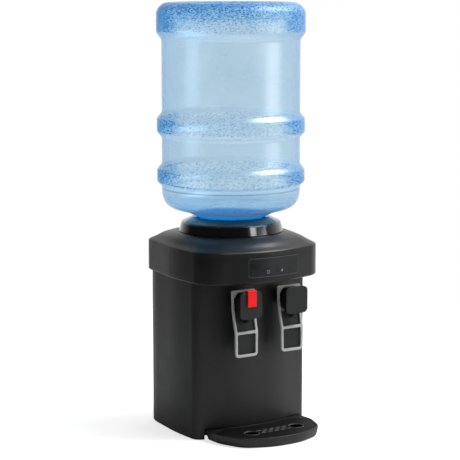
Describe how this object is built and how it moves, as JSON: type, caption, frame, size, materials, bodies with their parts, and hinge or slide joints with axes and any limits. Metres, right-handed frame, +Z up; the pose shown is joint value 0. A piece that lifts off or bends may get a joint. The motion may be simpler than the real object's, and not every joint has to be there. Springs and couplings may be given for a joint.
{
  "type": "countertop water dispenser",
  "caption": "Countertop water dispenser with an upturned bottle, hot and cold push taps, a child lock tab and a drip tray.",
  "frame": {"origin": "on the surface it stands on, under the centre of its outer box; the bottle's axis is 26.25 mm behind it", "axes": "+Z up, front with the taps towards -Y, +X to the right of a person who faces the front"},
  "size_m": [0.2688, 0.3203, 0.776],
  "materials": {
    "housing_black": "satin",
    "cover_black": "satin",
    "foot_rubber": "matte",
    "zinc_steel": "satin",
    "panel_film": "semi-gloss",
    "lamp_white": "gloss",
    "board_green": "satin",
    "rear_steel": "satin",
    "food_white": "satin",
    "stainless": "brushed",
    "foam_white": "matte",
    "aluminium": "satin",
    "ceramic_white": "matte",
    "fan_black": "satin",
    "foam_grey": "matte",
    "heater_mica": "satin",
    "board_parts": "gloss",
    "rocker_red": "gloss",
    "rocker_blue": "gloss",
    "silicone": "satin",
    "tap_black": "matte",
    "lever_grey": "satin",
    "tab_red": "semi-gloss",
    "grille_black": "satin",
    "collar_black": "gloss",
    "bottle_blue": "clear gloss",
    "cap_white": "satin"
  },
  "bodies": {
    "housing": {"body_shell": "housing_black", "base_plate": "housing_black", "feet": "foot_rubber", "foot_screws": "zinc_steel", "mid_shelf": "zinc_steel", "cover_floor": "housing_black", "top_cover": "cover_black", "control_panel": "panel_film", "panel_lamps": "lamp_white", "indicator_board": "board_green", "rear_panel": "rear_steel", "rear_screws": "zinc_steel", "funnel": "food_white", "feed_probe": "food_white", "tank_lid": "food_white", "cold_tank": "stainless", "cold_jacket": "foam_white", "baffle": "food_white", "cold_block": "aluminium", "peltier": "ceramic_white", "heat_sink": "aluminium", "fan_frame": "fan_black", "hot_tank": "stainless", "hot_tank_lid": "stainless", "hot_jacket": "foam_grey", "band_heater": "heater_mica", "thermostats": "ceramic_white", "hot_tank_stand": "zinc_steel", "power_board": "board_green", "board_parts": "board_parts", "mains_inlet": "fan_black", "switch_housings": "fan_black", "drain_valve": "food_white", "hoses": "silicone", "hot_tap_body": "tap_black", "cold_tap_body": "tap_black", "hot_tap_cap": "tap_black", "cold_tap_cap": "tap_black", "nozzles": "tap_black", "tap_nuts": "food_white", "pivot_pins": "zinc_steel", "hot_spring": "zinc_steel", "cold_spring": "zinc_steel"},
    "fan": {"fan_rotor": "fan_black"},
    "heat_switch": {"heat_rocker": "rocker_red"},
    "cool_switch": {"cool_rocker": "rocker_blue"},
    "drain_plug": {"drain_cap": "foot_rubber"},
    "hot_lever": {"hot_lever": "lever_grey", "hot_lever_plate": "tap_black"},
    "cold_lever": {"cold_lever": "lever_grey", "cold_lever_plate": "tap_black"},
    "hot_valve": {"hot_plunger": "silicone"},
    "cold_valve": {"cold_plunger": "silicone"},
    "child_lock": {"lock_tab": "tab_red"},
    "tray": {"drip_tray": "housing_black"},
    "grille": {"drip_grille": "grille_black"},
    "collar": {"bottle_collar": "collar_black"},
    "bottle": {"bottle": "bottle_blue", "bottle_cap": "cap_white"}
  },
  "joints": [
    {"name": "hot_lever_swing", "type": "hinge", "parent": "housing", "child": "hot_lever", "pos_m": [-0.0495, -0.08525, 0.262], "axis": [1, 0, 0], "range_deg": [0, 9], "stiffness_Nm_per_rad": 0.5, "springref_deg": -17.19},
    {"name": "cold_lever_swing", "type": "hinge", "parent": "housing", "child": "cold_lever", "pos_m": [0.0495, -0.08525, 0.262], "axis": [1, 0, 0], "range_deg": [0, 9], "stiffness_Nm_per_rad": 0.5, "springref_deg": -17.19},
    {"name": "hot_valve_lift", "type": "slide", "parent": "housing", "child": "hot_valve", "axis": [0, 0, 1], "range_m": [0, 0.003], "deforming": ["hot_spring"]},
    {"name": "cold_valve_lift", "type": "slide", "parent": "housing", "child": "cold_valve", "axis": [0, 0, 1], "range_m": [0, 0.003], "deforming": ["cold_spring"]},
    {"name": "child_lock_press", "type": "slide", "parent": "housing", "child": "child_lock", "axis": [0, 0, -1], "range_m": [0, 0.0025], "stiffness_N_per_m": 400, "springref_m": -0.005},
    {"name": "tray_slide", "type": "slide", "parent": "housing", "child": "tray", "axis": [0, -1, 0], "range_m": [0, 0.12]},
    {"name": "grille_lift", "type": "slide", "parent": "tray", "child": "grille", "axis": [0, 0, 1], "range_m": [0, 0.04]},
    {"name": "collar_lift", "type": "slide", "parent": "housing", "child": "collar", "axis": [0, 0, 1], "range_m": [0, 0.05]},
    {"name": "bottle_lift", "type": "slide", "parent": "collar", "child": "bottle", "axis": [0, 0, 1], "range_m": [0, 0.115]},
    {"name": "heat_switch_rock", "type": "hinge", "parent": "housing", "child": "heat_switch", "pos_m": [-0.025, 0.14635, 0.15], "axis": [1, 0, 0], "range_deg": [-14, 0]},
    {"name": "cool_switch_rock", "type": "hinge", "parent": "housing", "child": "cool_switch", "pos_m": [0.005, 0.14635, 0.15], "axis": [1, 0, 0], "range_deg": [-14, 0]},
    {"name": "fan_spin", "type": "hinge", "parent": "housing", "child": "fan", "pos_m": [0, 0.13425, 0.245], "axis": [0, 1, 0], "continuous": true},
    {"name": "drain_plug_pull", "type": "slide", "parent": "housing", "child": "drain_plug", "axis": [0, 1, 0], "range_m": [0, 0.02]}
  ],
  "couplings": [
    {"joint": "hot_valve_lift", "follows": "hot_lever_swing", "m_per_rad": 0.019},
    {"joint": "cold_valve_lift", "follows": "cold_lever_swing", "m_per_rad": 0.019}
  ]
}
